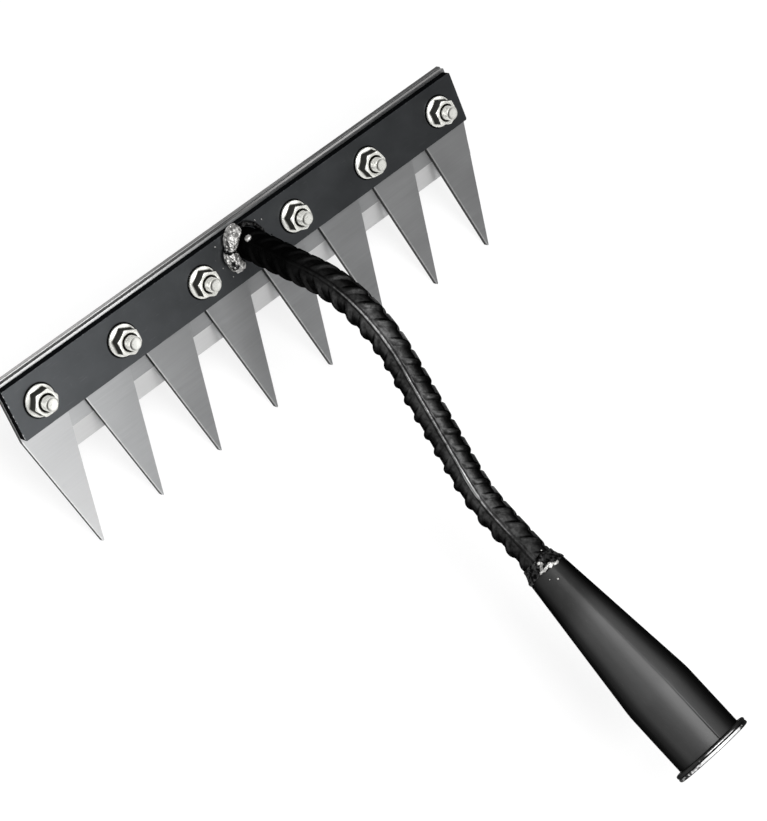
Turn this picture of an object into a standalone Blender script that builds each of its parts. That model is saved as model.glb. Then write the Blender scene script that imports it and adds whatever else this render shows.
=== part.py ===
# Head of a weeding rake: a toothed blade and a bevelled scraper blade bolted behind a flat
# clamp bar, carried by an S-shaped neck of ribbed bar that is welded into a handle socket.
#
# World frame: metres, +Z up, origin at the centre of the socket's mouth, the handle leaving
# along +Y and the blades' length along X.
# Head frame: x along the bar, y from the bar's top edge towards the tooth tips, z out of the
# bar's front face, where the nuts are. An empty places it in the world.

from math import ceil, cos, pi, radians, sin, sqrt, tan, tau

import bmesh
import bpy
from mathutils import Matrix, Vector

# Clearance between pieces that touch or are welded on the real tool
SEAT_GAP = 0.0003

# Clamp bar
BAR_LENGTH = 0.320
BAR_HEIGHT = 0.030
BAR_THICKNESS = 0.005
BAR_CORNER_RADIUS = 0.0010
BAR_EDGE_BREAK = 0.0005

# Toothed blade
TOOTH_COUNT = 8
TOOTH_ROOT_WIDTH = 0.0316
TOOTH_LENGTH = 0.0775
TOOTH_TIP_RADIUS = 0.0005
ROOT_UNDER_BAR = 0.002
ROOT_FILLET = 0.002
TOOTHED_OVERHANG = 0.001
TOOTHED_END_CUT = 0.0009
TOOTHED_THICKNESS = 0.003
TOOTHED_TOP_STAND = 0.0014

# Scraper blade
SCRAPER_SHORTER = 0.004
SCRAPER_THICKNESS = 0.003
SCRAPER_TOP_STAND = 0.0019
SCRAPER_REACH = 0.0245
SCRAPER_BEVEL_WIDTH = 0.0118
SCRAPER_OFF_CENTRE = -0.0035
SCRAPER_EDGE_LAND = 0.0005

# Bolts and flange nuts
BOLT_LINE = 0.0155
BOLT_END_DISTANCE = 0.0164
MIDDLE_PITCH = 0.066
BOLT_DIAMETER = 0.0079
BOLT_LENGTH = 0.025
BOLT_CHAMFER = 0.0009
HOLE_CLEARANCE = 0.0005
HEAD_FLATS = 0.013
HEAD_HEIGHT = 0.0053
NUT_FLATS = 0.013
NUT_HEIGHT = 0.0076
NUT_COUNTERSINK = 0.0102
NUT_FLANGE_DIAMETER = 0.0172
NUT_FLANGE_EDGE = 0.0012
NUT_FLANGE_SLOPE = 25.0
HEX_CHAMFER_SLOPE = 30.0
# How far each nut happens to be turned, in degrees, from the photo's left to its right
NUT_TURNS = (30.0, 2.0, 4.0, 6.0, 22.0, 4.0)

# Ribbed neck
NECK_CORE_DIAMETER = 0.0150
NECK_RIB_HEIGHT = 0.0014
NECK_RIB_PITCH = 0.01057
NECK_RIB_START = 0.0068
NECK_RIB_BASE = 0.0052
NECK_RIB_CREST = 0.0010
NECK_RIB_SWEEP = 0.0145
NECK_SEAM_HEIGHT = 0.0009
NECK_SEAM_WIDTH = 0.0024
NECK_SEAM_TURN = 35.0
NECK_DROP = 0.0107
NECK_LEAVE_ANGLE = 77.0
NECK_RISE = 0.056
KNEE_RADIUS = 0.060
NECK_REACH_ANGLE = 13.5
NECK_REACH = 0.070
HEEL_RADIUS = 0.060
SOCKET_ANGLE = 41.2
NECK_TAIL = 0.0355
NECK_ENTRY = 0.020

# Handle socket and the hoop round its mouth
SOCKET_LENGTH = 0.125
SOCKET_BARREL_LENGTH = 0.0415
SOCKET_MOUTH_DIAMETER = 0.0388
SOCKET_SMALL_DIAMETER = 0.0224
SOCKET_WALL = 0.0018
SOCKET_SHOULDER_RADIUS = 0.050
SEAM_WIDTH = 0.0005
SEAM_TURN = 8.0
RING_DIAMETER = 0.0455
RING_WIDTH = 0.0042
RING_ROUND = 0.0016

# Weld beads
LEFT_WELD_REACH = 0.0062
LEFT_WELD_HEIGHT = 0.0062
LEFT_WELD_BEADS = 2
RIGHT_WELD_REACH = 0.0036
RIGHT_WELD_HEIGHT = 0.0050
RIGHT_WELD_BEADS = 1
NECK_WELD_SPLIT = 16.0
SOCKET_WELD_LENGTH = 0.008
SOCKET_WELD_STAND = 0.0003
WELD_LUMP = 0.0008
WELD_LUMP_COUNT = 7

# Segments round a hole, a turned piece, the socket and its weld, and one row of neck ribs
HOLE_SEGMENTS = 24
TURN_SEGMENTS = 24
SOCKET_SEGMENTS = 48
WELD_SEGMENTS = 44
NECK_SEGMENTS = 8

# Worked out from the sizes above
toothedLength = BAR_LENGTH + TOOTHED_OVERHANG
toothPitch = (toothedLength + 2 * TOOTHED_END_CUT - TOOTH_ROOT_WIDTH) / (TOOTH_COUNT - 1)
scraperLength = BAR_LENGTH - SCRAPER_SHORTER
toothedFront = -BAR_THICKNESS - SEAT_GAP
toothedBack = toothedFront - TOOTHED_THICKNESS
scraperFront = toothedBack - SEAT_GAP
scraperBack = scraperFront - SCRAPER_THICKNESS
headSeat = scraperBack - SEAT_GAP
boltRadius = BOLT_DIAMETER / 2
holeRadius = boltRadius + HOLE_CLEARANCE
neckCoreRadius = NECK_CORE_DIAMETER / 2
neckClearRadius = neckCoreRadius + max(NECK_RIB_HEIGHT, NECK_SEAM_HEIGHT) + SEAT_GAP
boltPitch = (BAR_LENGTH / 2 - BOLT_END_DISTANCE - MIDDLE_PITCH / 2) / 2
boltPlaces = [side * (MIDDLE_PITCH / 2 + step * boltPitch)
              for side, steps in ((1, (2, 1, 0)), (-1, (0, 1, 2))) for step in steps]

# Start from an empty scene
for oldObject in list(bpy.data.objects):
    bpy.data.objects.remove(oldObject, do_unlink=True)

rakeParts = bpy.data.collections.new("weeding_rake")
cutterShapes = bpy.data.collections.new("cutters")
bpy.context.scene.collection.children.link(rakeParts)
bpy.context.scene.collection.children.link(cutterShapes)


def surfaceMaterial(name, colour, roughness, metallic):
    material = bpy.data.materials.new(name)
    material.use_nodes = True
    shader = material.node_tree.nodes["Principled BSDF"]
    shader.inputs["Base Color"].default_value = (*colour, 1.0)
    shader.inputs["Roughness"].default_value = roughness
    shader.inputs["Metallic"].default_value = metallic
    return material


def evaluatedMesh(obj):
    bpy.context.view_layer.update()
    graph = bpy.context.evaluated_depsgraph_get()
    return bpy.data.meshes.new_from_object(obj.evaluated_get(graph), depsgraph=graph)


def addObject(name, mesh, collection=rakeParts, parent=None):
    obj = bpy.data.objects.new(name, mesh)
    collection.objects.link(obj)
    obj.parent = parent
    return obj


def finish(obj, material, smoothAngle=None):
    obj.data.materials.clear()
    obj.data.materials.append(material)
    if smoothAngle is not None:
        obj.data.shade_smooth()
        obj.data.set_sharp_from_angle(angle=radians(smoothAngle))
    return obj


def markCutter(obj):
    obj.hide_render = True
    obj.display_type = "WIRE"
    return obj


def addBoolean(obj, operation, operand):
    modifier = obj.modifiers.new(operation.lower(), "BOOLEAN")
    modifier.operation = operation
    modifier.solver = "EXACT"
    modifier.object = operand
    return modifier


def roundCorner(before, corner, after, radius, steps=4):
    # Replaces a corner of an outline by an arc that touches both its sides
    corner = Vector(corner)
    toBefore = (Vector(before) - corner).normalized()
    toAfter = (Vector(after) - corner).normalized()
    halfAngle = toBefore.angle(toAfter) / 2
    limit = 0.45 * min((Vector(before) - corner).length, (Vector(after) - corner).length)
    setBack = min(radius / tan(halfAngle), limit)
    radius = setBack * tan(halfAngle)
    centre = corner + (toBefore + toAfter).normalized() * (radius / sin(halfAngle))
    start = corner + toBefore * setBack - centre
    turn = start.angle_signed(corner + toAfter * setBack - centre)
    arc = []
    for step in range(steps + 1):
        angle = -turn * step / steps
        arc.append((centre.x + start.x * cos(angle) - start.y * sin(angle),
                    centre.y + start.x * sin(angle) + start.y * cos(angle)))
    return arc


def roundedOutline(corners):
    # Each corner is a point and its radius; a radius of 0 keeps it sharp
    points = []
    for index, (corner, radius) in enumerate(corners):
        before = corners[index - 1][0]
        after = corners[(index + 1) % len(corners)][0]
        points += roundCorner(before, corner, after, radius) if radius else [corner]
    return points


def flatPlate(name, outline, thickness, collection=rakeParts, parent=None):
    # An outline in local x and y, given its thickness evenly to both sides of z = 0
    curve = bpy.data.curves.new(name + "_outline", "CURVE")
    curve.dimensions = "2D"
    curve.fill_mode = "BOTH"
    curve.extrude = thickness / 2
    spline = curve.splines.new("POLY")
    spline.points.add(len(outline) - 1)
    for point, (x, y) in zip(spline.points, outline):
        point.co = (x, y, 0.0, 1.0)
    spline.use_cyclic_u = True
    guide = addObject(name + "_curve", curve, collection)
    mesh = evaluatedMesh(guide)
    bpy.data.objects.remove(guide, do_unlink=True)
    weldCaps(mesh)
    return addObject(name, mesh, collection, parent)


def weldCaps(mesh):
    bm = bmesh.new()
    bm.from_mesh(mesh)
    bmesh.ops.remove_doubles(bm, verts=bm.verts, dist=0.000001)
    bmesh.ops.recalc_face_normals(bm, faces=bm.faces)
    bm.to_mesh(mesh)
    bm.free()


def turnedPiece(name, profile, closedProfile, steps, sweep=tau, collection=rakeParts):
    # Turns a profile of (radius, height) points round local z; it runs down the outer side
    mesh = bpy.data.meshes.new(name)
    edges = [(index, index + 1) for index in range(len(profile) - 1)]
    if closedProfile:
        edges.append((len(profile) - 1, 0))
    mesh.from_pydata([(radius, 0.0, height) for radius, height in profile], edges, [])
    obj = addObject(name, mesh, collection)
    screw = obj.modifiers.new("turn", "SCREW")
    screw.axis = "Z"
    screw.angle = sweep
    screw.steps = steps
    screw.render_steps = steps
    screw.use_merge_vertices = sweep == tau
    screw.merge_threshold = 0.00001
    return obj


def loftedMesh(name, rings, closedLoop=False):
    # A skin over rings that all have the same number of points, with flat ends
    bm = bmesh.new()
    vertices = [[bm.verts.new(point) for point in ring] for ring in rings]
    pairs = list(zip(vertices, vertices[1:]))
    if closedLoop:
        pairs.append((vertices[-1], vertices[0]))
    for low, high in pairs:
        for column in range(len(low)):
            following = (column + 1) % len(low)
            bm.faces.new((low[column], low[following], high[following], high[column]))
    bmesh.ops.remove_doubles(bm, verts=bm.verts, dist=0.00002)
    bmesh.ops.dissolve_degenerate(bm, edges=bm.edges, dist=0.000005)
    openEdges = [edge for edge in bm.edges if edge.is_boundary]
    if openEdges:
        bmesh.ops.holes_fill(bm, edges=openEdges, sides=0)
    bmesh.ops.recalc_face_normals(bm, faces=bm.faces)
    mesh = bpy.data.meshes.new(name)
    bm.to_mesh(mesh)
    bm.free()
    return mesh


def neckStation(distance):
    # Point and heading of the neck's centreline in the head frame's y-z plane: straight off
    # the bar, bent down at the knee, straight along the reach, bent up at the heel, straight
    # into the socket
    heading = radians(NECK_LEAVE_ANGLE)
    point = Vector((NECK_DROP, 0.0))
    for length, curvature in neckRuns:
        last = (length, curvature) == neckRuns[-1]
        step = distance if last else min(distance, length)
        if curvature:
            turned = heading + curvature * step
            point += Vector((sin(turned) - sin(heading), cos(heading) - cos(turned))) / curvature
            heading = turned
        else:
            point += step * Vector((cos(heading), sin(heading)))
        distance -= step
        if distance <= 0:
            break
    return point, heading


kneeTurn = radians(NECK_LEAVE_ANGLE - NECK_REACH_ANGLE)
heelTurn = radians(SOCKET_ANGLE - NECK_REACH_ANGLE)
neckRuns = [
    (NECK_RISE, 0.0),
    (KNEE_RADIUS * kneeTurn, -1.0 / KNEE_RADIUS),
    (NECK_REACH, 0.0),
    (HEEL_RADIUS * heelTurn, 1.0 / HEEL_RADIUS),
    (NECK_TAIL + SOCKET_LENGTH, 0.0),
]
mouthDistance = sum(length for length, curvature in neckRuns)
neckLength = mouthDistance - SOCKET_LENGTH + NECK_ENTRY

# The head frame hangs from the socket: its y axis is turned down by the socket's angle
mouthPoint, mouthHeading = neckStation(mouthDistance)
headTurn = Matrix.Rotation(-mouthHeading, 4, "X")
headFrame = bpy.data.objects.new("head_frame", None)
rakeParts.objects.link(headFrame)
headFrame.matrix_world = headTurn @ Matrix.Translation((0.0, -mouthPoint.x, -mouthPoint.y))

blackPaint = surfaceMaterial("black_bar_paint", (0.045, 0.046, 0.050), 0.42, 0.0)
neckPaint = surfaceMaterial("black_neck_paint", (0.012, 0.012, 0.013), 0.28, 0.0)
socketPaint = surfaceMaterial("black_socket_paint", (0.020, 0.020, 0.021), 0.35, 0.0)
brushedSteel = surfaceMaterial("brushed_blade_steel", (0.50, 0.50, 0.51), 0.34, 1.0)
zincPlate = surfaceMaterial("bright_zinc", (0.86, 0.85, 0.79), 0.16, 1.0)
bareWeld = surfaceMaterial("bare_weld_metal", (0.62, 0.61, 0.60), 0.30, 1.0)


def cylinderMesh(name, radius, low, high, segments, places=((0.0, 0.0),)):
    bm = bmesh.new()
    for x, y in places:
        middle = Matrix.Translation((x, y, (low + high) / 2))
        bmesh.ops.create_cone(bm, cap_ends=True, segments=segments, radius1=radius,
                              radius2=radius, depth=high - low, matrix=middle)
    mesh = bpy.data.meshes.new(name)
    bm.to_mesh(mesh)
    bm.free()
    return mesh


def boltHoleCutter():
    # One cutter drills all three layers, so their holes line up
    places = [(place, BOLT_LINE) for place in boltPlaces]
    mesh = cylinderMesh("bolt_holes", holeRadius, headSeat - BAR_THICKNESS, BAR_THICKNESS,
                        HOLE_SEGMENTS, places)
    return markCutter(addObject("bolt_holes", mesh, cutterShapes, headFrame))


def makeClampBar(holes):
    half = BAR_LENGTH / 2
    corners = [((-half, 0.0), BAR_CORNER_RADIUS), ((half, 0.0), BAR_CORNER_RADIUS),
               ((half, BAR_HEIGHT), BAR_CORNER_RADIUS), ((-half, BAR_HEIGHT), BAR_CORNER_RADIUS)]
    bar = flatPlate("clamp_bar", roundedOutline(corners), BAR_THICKNESS, parent=headFrame)
    bar.location.z = -BAR_THICKNESS / 2
    edges = bar.modifiers.new("edge_break", "BEVEL")
    edges.width = BAR_EDGE_BREAK
    edges.segments = 1
    edges.limit_method = "ANGLE"
    edges.angle_limit = radians(60.0)
    addBoolean(bar, "DIFFERENCE", holes)
    finish(bar, blackPaint, 40.0)


def toothedOutline():
    # Along the top edge, then back along the teeth, each a triangle with a rounded tip; the
    # blade's ends cut a little off the outer teeth
    half = toothedLength / 2
    toothHalf = TOOTH_ROOT_WIDTH / 2
    rootLine = BAR_HEIGHT - ROOT_UNDER_BAR
    tipLine = BAR_HEIGHT + TOOTH_LENGTH
    endLine = rootLine + (tipLine - rootLine) * TOOTHED_END_CUT / toothHalf
    corners = [((-half, -TOOTHED_TOP_STAND), 0.0), ((half, -TOOTHED_TOP_STAND), 0.0)]
    for index in range(TOOTH_COUNT):
        centre = (TOOTH_COUNT - 1) / 2 * toothPitch - index * toothPitch
        first = ((centre + toothHalf, rootLine), ROOT_FILLET)
        last = ((centre - toothHalf, rootLine), ROOT_FILLET)
        if index == 0:
            first = ((half, endLine), 0.0)
        if index == TOOTH_COUNT - 1:
            last = ((-half, endLine), 0.0)
        corners += [first, ((centre, tipLine), TOOTH_TIP_RADIUS), last]
    return roundedOutline(corners)


def makeToothedBlade(holes):
    # Level with the bar's end on the +x side; its extra length shows at the other end
    blade = flatPlate("toothed_blade", toothedOutline(), TOOTHED_THICKNESS, parent=headFrame)
    blade.location.x = -TOOTHED_OVERHANG / 2
    blade.location.z = (toothedFront + toothedBack) / 2
    addBoolean(blade, "DIFFERENCE", holes)
    finish(blade, brushedSteel)


def makeScraperBlade(holes):
    # The section is drawn in y and z and run along the bar; its front face is ground back
    # to a thin land at the scraping edge
    edgeLine = BAR_HEIGHT + SCRAPER_REACH
    half = SCRAPER_THICKNESS / 2
    section = [(-SCRAPER_TOP_STAND, -half), (edgeLine, -half),
               (edgeLine, SCRAPER_EDGE_LAND - half), (edgeLine - SCRAPER_BEVEL_WIDTH, half),
               (-SCRAPER_TOP_STAND, half)]
    blade = flatPlate("scraper_blade", section, scraperLength, parent=headFrame)
    sectionToHead = Matrix(((0, 0, 1, 0), (1, 0, 0, 0), (0, 1, 0, 0), (0, 0, 0, 1)))
    blade.data.transform(sectionToHead)
    blade.location.x = SCRAPER_OFF_CENTRE
    blade.location.z = (scraperFront + scraperBack) / 2
    addBoolean(blade, "DIFFERENCE", holes)
    finish(blade, brushedSteel)


def hexPrism(name, flats, low, high):
    return markCutter(addObject(name, cylinderMesh(name, flats / sqrt(3), low, high, 6),
                                cutterShapes))


def chamferEnvelope(flats, low, high, chamferTop):
    # The turned shape that takes the corners off one end of a hexagon
    corner = flats / sqrt(3) * 1.02
    flat = flats / 2 * 0.97
    drop = (corner - flat) * tan(radians(HEX_CHAMFER_SLOPE))
    if chamferTop:
        return [(0.0, high), (flat, high), (corner, high - drop), (corner, low), (0.0, low)]
    return [(0.0, high), (corner, high), (corner, low + drop), (flat, low), (0.0, low)]


def nutMesh():
    # A hexagon with a chamfered top on a conical flange, bored to clear the bolt
    flangeRadius = NUT_FLANGE_DIAMETER / 2
    neckRadius = NUT_FLATS / 2
    flangeRise = (flangeRadius - neckRadius) * tan(radians(NUT_FLANGE_SLOPE))
    nut = turnedPiece("nut_blank", chamferEnvelope(NUT_FLATS, 0.0, NUT_HEIGHT, True), False,
                      TURN_SEGMENTS)
    flange = markCutter(turnedPiece("nut_flange", [
        (0.0, NUT_FLANGE_EDGE + flangeRise), (neckRadius, NUT_FLANGE_EDGE + flangeRise),
        (flangeRadius, NUT_FLANGE_EDGE), (flangeRadius, 0.0), (0.0, 0.0)], False,
        TURN_SEGMENTS, collection=cutterShapes))
    boreRadius = boltRadius + SEAT_GAP
    sinkRadius = NUT_COUNTERSINK / 2
    bore = markCutter(turnedPiece("nut_bore", [
        (0.0, 2 * NUT_HEIGHT), (sinkRadius + NUT_HEIGHT, 2 * NUT_HEIGHT),
        (boreRadius, NUT_HEIGHT - sinkRadius + boreRadius), (boreRadius, -NUT_HEIGHT),
        (0.0, -NUT_HEIGHT)], False, TURN_SEGMENTS, collection=cutterShapes))
    addBoolean(nut, "INTERSECT", hexPrism("nut_hex", NUT_FLATS, -NUT_HEIGHT, 2 * NUT_HEIGHT))
    addBoolean(nut, "UNION", flange)
    addBoolean(nut, "DIFFERENCE", bore)
    mesh = evaluatedMesh(nut)
    weldCaps(mesh)
    bpy.data.objects.remove(nut, do_unlink=True)
    return mesh


def boltMesh():
    # Its head's seat is at z = 0, the head below and the shank above
    head = turnedPiece("bolt_blank", chamferEnvelope(HEAD_FLATS, -HEAD_HEIGHT, 0.0, False),
                       False, TURN_SEGMENTS)
    shank = markCutter(turnedPiece("bolt_shank", [
        (0.0, BOLT_LENGTH), (boltRadius - BOLT_CHAMFER, BOLT_LENGTH),
        (boltRadius, BOLT_LENGTH - BOLT_CHAMFER), (boltRadius, -HEAD_HEIGHT / 2),
        (0.0, -HEAD_HEIGHT / 2)], False, TURN_SEGMENTS, collection=cutterShapes))
    addBoolean(head, "INTERSECT", hexPrism("bolt_hex", HEAD_FLATS, -2 * HEAD_HEIGHT, HEAD_HEIGHT))
    addBoolean(head, "UNION", shank)
    mesh = evaluatedMesh(head)
    weldCaps(mesh)
    bpy.data.objects.remove(head, do_unlink=True)
    return mesh


def makeFasteners():
    nutShape = nutMesh()
    boltShape = boltMesh()
    for index, place in enumerate(boltPlaces):
        number = index + 1
        nut = addObject(f"flange_nut_{number}", nutShape, parent=headFrame)
        nut.location = (place, BOLT_LINE, SEAT_GAP)
        nut.rotation_euler.z = radians(NUT_TURNS[index % len(NUT_TURNS)])
        finish(nut, zincPlate, 30.0)
        bolt = addObject(f"bolt_{number}", boltShape, parent=headFrame)
        bolt.location = (place, BOLT_LINE, headSeat)
        finish(bolt, zincPlate, 30.0)


def neckColumns():
    # Angles round the neck from the longitudinal rib that faces forward, each with its own
    # rise there, the share of the transverse ribs' height and how far those ribs are
    # staggered, in pitches: the two rows of ribs sit half a pitch apart
    seamHalf = NECK_SEAM_WIDTH / NECK_CORE_DIAMETER
    seamColumns = ((-1.0, 0.0), (-0.35, NECK_SEAM_HEIGHT), (0.35, NECK_SEAM_HEIGHT), (1.0, 0.0))
    columns = []
    for turn, before, after in ((0.0, 0.5, 0.0), (pi, 0.0, 0.5)):
        for index, (offset, rise) in enumerate(seamColumns):
            stagger = before + (after - before) * index / (len(seamColumns) - 1)
            columns.append((turn + offset * seamHalf, rise, 0.0, stagger))
        for step in range(1, NECK_SEGMENTS + 1):
            share = step / (NECK_SEGMENTS + 1)
            angle = turn + seamHalf + share * (pi - 2 * seamHalf)
            columns.append((angle, 0.0, sin(pi * share) ** 0.7, after))
    return columns


def neckVertex(station, ribShare, column):
    # The transverse ribs lean: they run towards the socket as they go round to the back
    angle, seamRise, crescent, stagger = column
    aroundBack = abs((angle + pi) % tau - pi) / pi
    turn = angle + radians(NECK_SEAM_TURN)
    leave = radians(NECK_LEAVE_ANGLE)
    core = neckCoreRadius + seamRise
    first = (SEAT_GAP - core * cos(turn) * cos(leave)) / sin(leave)
    leaning = station + NECK_RIB_SWEEP * aroundBack + NECK_RIB_PITCH * stagger
    distance = min(max(leaning, first), neckLength)
    fromEnds = min(distance - first, neckLength - distance)
    runOut = min(fromEnds / NECK_RIB_BASE, 1.0)
    radius = core + NECK_RIB_HEIGHT * ribShare * crescent * runOut
    point, heading = neckStation(distance)
    outward = radius * cos(turn)
    return Vector((radius * sin(turn), point.x - outward * sin(heading),
                   point.y + outward * cos(heading)))


def makeRibbedNeck():
    flank = (NECK_RIB_BASE - NECK_RIB_CREST) / 2
    ribStations = ((0.0, 0.0), (flank, 1.0), (flank + NECK_RIB_CREST, 1.0), (NECK_RIB_BASE, 0.0))
    columns = neckColumns()
    firstRib = -ceil((NECK_RIB_SWEEP + neckCoreRadius) / NECK_RIB_PITCH) - 2
    lastRib = ceil(neckLength / NECK_RIB_PITCH)
    rings = []
    for rib in range(firstRib, lastRib + 1):
        for offset, ribShare in ribStations:
            station = NECK_RIB_START + rib * NECK_RIB_PITCH + offset
            rings.append([neckVertex(station, ribShare, column) for column in columns])
    neck = addObject("ribbed_neck", loftedMesh("ribbed_neck", rings), parent=headFrame)
    finish(neck, neckPaint, 50.0)


def lump(angle, phase):
    # Uneven swelling of a weld bead round its joint, from 0 to WELD_LUMP
    wave = 0.6 * sin(WELD_LUMP_COUNT * angle + phase) + 0.4 * sin(3 * angle + 2.1 * phase)
    return WELD_LUMP * (0.5 + 0.5 * wave)


def makeNeckWeld(name, startAngle, fullReach, fullHeight, beads, phase, material):
    # Beads in the corner between the bar's face and one side of the leaning neck
    lean = 1.0 / tan(radians(NECK_LEAVE_ANGLE))
    stretch = 1.0 / sin(radians(NECK_LEAVE_ANGLE))
    steps = WELD_SEGMENTS // 2
    rings = []
    for step in range(steps + 1):
        share = step / steps
        angle = radians(startAngle + NECK_WELD_SPLIT + (180.0 - 2 * NECK_WELD_SPLIT) * share)
        swell = lump(angle, phase)
        taper = 0.55 + 0.45 * abs(sin(beads * pi * share)) ** 0.6
        reach = fullReach * taper + 2 * swell
        height = fullHeight * taper + swell
        section = ((0.0, 0.0), (reach, 0.0), (0.92 * reach, 0.22 * height),
                   (0.55 * reach, 0.62 * height), (0.2 * reach, height), (0.0, height))
        ring = []
        for outward, rise in section:
            radius = neckClearRadius + outward
            up = SEAT_GAP + rise
            ring.append(Vector((radius * sin(angle),
                                NECK_DROP + lean * up - radius * stretch * cos(angle), up)))
        rings.append(ring)
    weld = addObject(name, loftedMesh(name, rings), parent=headFrame)
    finish(weld, material, 50.0)


def makeHandleSocket():
    # Sheet rolled to a barrel and a long taper, open along its seam by a hair
    mouthRadius = SOCKET_MOUTH_DIAMETER / 2
    smallRadius = SOCKET_SMALL_DIAMETER / 2
    shoulder = roundCorner((mouthRadius, 0.0), (mouthRadius, -SOCKET_BARREL_LENGTH),
                           (smallRadius, -SOCKET_LENGTH), SOCKET_SHOULDER_RADIUS)
    profile = [(mouthRadius, 0.0), *shoulder, (smallRadius, -SOCKET_LENGTH)]
    sweep = tau - SEAM_WIDTH / mouthRadius
    socket = turnedPiece("handle_socket", profile, False, SOCKET_SEGMENTS, sweep)
    wall = socket.modifiers.new("wall", "SOLIDIFY")
    wall.thickness = SOCKET_WALL
    wall.offset = -1.0
    wall.use_even_offset = True
    alongY = Matrix.Rotation(-pi / 2, 4, "X")
    seamPlace = Matrix.Rotation(radians(SEAM_TURN - 90.0) + SEAM_WIDTH / mouthRadius / 2, 4, "Z")
    socket.matrix_world = alongY @ seamPlace
    finish(socket, socketPaint, 40.0)


def makeMouthRing():
    # A hoop with rounded outer corners round the socket's mouth, its end face level with it
    inner = SOCKET_MOUTH_DIAMETER / 2 + SEAT_GAP
    outer = RING_DIAMETER / 2
    corners = [((inner, 0.0), 0.0), ((outer, 0.0), RING_ROUND),
               ((outer, -RING_WIDTH), RING_ROUND), ((inner, -RING_WIDTH), 0.0)]
    ring = turnedPiece("mouth_ring", roundedOutline(corners), True, SOCKET_SEGMENTS)
    ring.matrix_world = Matrix.Rotation(-pi / 2, 4, "X")
    finish(ring, socketPaint, 40.0)


def makeSocketWeld():
    # A bead round the neck against the socket's small end
    outer = SOCKET_SMALL_DIAMETER / 2 + SOCKET_WELD_STAND - neckClearRadius
    rings = []
    for step in range(WELD_SEGMENTS):
        angle = tau * step / WELD_SEGMENTS
        swell = lump(angle, 0.8)
        section = ((0.0, 0.0), (0.0, outer), (0.3, outer + swell), (0.62, outer * 0.8 + swell),
                   (0.9, outer * 0.3 + swell), (1.0, 0.1 * outer), (1.0, 0.0))
        ring = []
        for along, outward in section:
            radius = neckClearRadius + outward
            ring.append(Vector((radius * sin(angle),
                                -SOCKET_LENGTH - SEAT_GAP - along * SOCKET_WELD_LENGTH,
                                radius * cos(angle))))
        rings.append(ring)
    weld = addObject("socket_weld", loftedMesh("socket_weld", rings, closedLoop=True))
    finish(weld, neckPaint, 50.0)


boltHoles = boltHoleCutter()
makeClampBar(boltHoles)
makeToothedBlade(boltHoles)
makeScraperBlade(boltHoles)
makeFasteners()
makeRibbedNeck()
makeNeckWeld("neck_weld_left", 0.0, LEFT_WELD_REACH, LEFT_WELD_HEIGHT, LEFT_WELD_BEADS,
             0.4, bareWeld)
makeNeckWeld("neck_weld_right", 180.0, RIGHT_WELD_REACH, RIGHT_WELD_HEIGHT, RIGHT_WELD_BEADS,
             1.9, neckPaint)
makeHandleSocket()
makeMouthRing()
makeSocketWeld()
bpy.context.view_layer.update()
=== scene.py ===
from math import cos, pi, radians, sin, tan, tau

import bmesh
import bpy
import numpy as np
from mathutils import Matrix, Vector


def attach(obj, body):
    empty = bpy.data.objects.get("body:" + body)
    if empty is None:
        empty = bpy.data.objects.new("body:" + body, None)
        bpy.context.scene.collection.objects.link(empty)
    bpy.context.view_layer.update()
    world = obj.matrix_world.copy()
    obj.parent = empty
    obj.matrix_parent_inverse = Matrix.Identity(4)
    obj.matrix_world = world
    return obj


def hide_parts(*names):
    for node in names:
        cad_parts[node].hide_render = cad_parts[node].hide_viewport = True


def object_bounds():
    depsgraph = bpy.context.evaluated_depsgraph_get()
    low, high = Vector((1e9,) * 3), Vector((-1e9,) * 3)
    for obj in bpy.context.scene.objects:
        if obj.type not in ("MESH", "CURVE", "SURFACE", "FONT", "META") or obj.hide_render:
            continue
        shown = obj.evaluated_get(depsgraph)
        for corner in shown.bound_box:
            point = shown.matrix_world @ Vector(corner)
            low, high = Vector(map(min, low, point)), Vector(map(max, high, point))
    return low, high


# Weeding rake head: looks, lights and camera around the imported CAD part, in metres

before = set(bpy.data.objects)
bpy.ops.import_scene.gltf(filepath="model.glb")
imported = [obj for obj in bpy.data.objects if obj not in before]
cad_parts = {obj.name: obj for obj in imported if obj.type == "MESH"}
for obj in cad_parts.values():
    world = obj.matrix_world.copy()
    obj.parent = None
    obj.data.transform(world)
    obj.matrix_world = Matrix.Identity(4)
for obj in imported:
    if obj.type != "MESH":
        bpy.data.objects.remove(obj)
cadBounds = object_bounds()
print("frame loaded:", len(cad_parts), "nodes")


class Wire:
    # A socket in a node tree. Plain operators on it add the Math nodes that work them out.
    def __init__(self, tree, socket=None):
        self.tree = tree
        self.socket = socket

    def node(self, kind, settings=None, values=None, out=0):
        # Any other node: its settings come first, then its sockets' values or links
        made = self.tree.nodes.new(kind)
        for name, value in (settings or {}).items():
            setattr(made, name, value)
        for name, value in (values or {}).items():
            if isinstance(value, Wire):
                self.tree.links.new(value.socket, made.inputs[name])
            else:
                made.inputs[name].default_value = value
        return Wire(self.tree, made.outputs[out])

    def math(self, operation, first, second=0.0):
        return self.node("ShaderNodeMath", {"operation": operation}, {0: first, 1: second})

    def __add__(self, other):
        return self.math("ADD", self, other)

    def __sub__(self, other):
        return self.math("SUBTRACT", self, other)

    def __rsub__(self, other):
        return self.math("SUBTRACT", other, self)

    def __mul__(self, other):
        return self.math("MULTIPLY", self, other)

    def __neg__(self):
        return self.math("MULTIPLY", self, -1.0)

    def __abs__(self):
        return self.math("ABSOLUTE", self)

    __radd__ = __add__
    __rmul__ = __mul__


def ease(wire, low, high):
    # 0 below low, 1 above high, smooth between; low may be the larger
    return wire.node("ShaderNodeMapRange", {"interpolation_type": "SMOOTHSTEP"},
                     {"Value": wire, "From Min": low, "From Max": high})


def partly(wire, low, high, share):
    # The same, from 0 up to a share
    return ease(wire, low, high) * share


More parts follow.
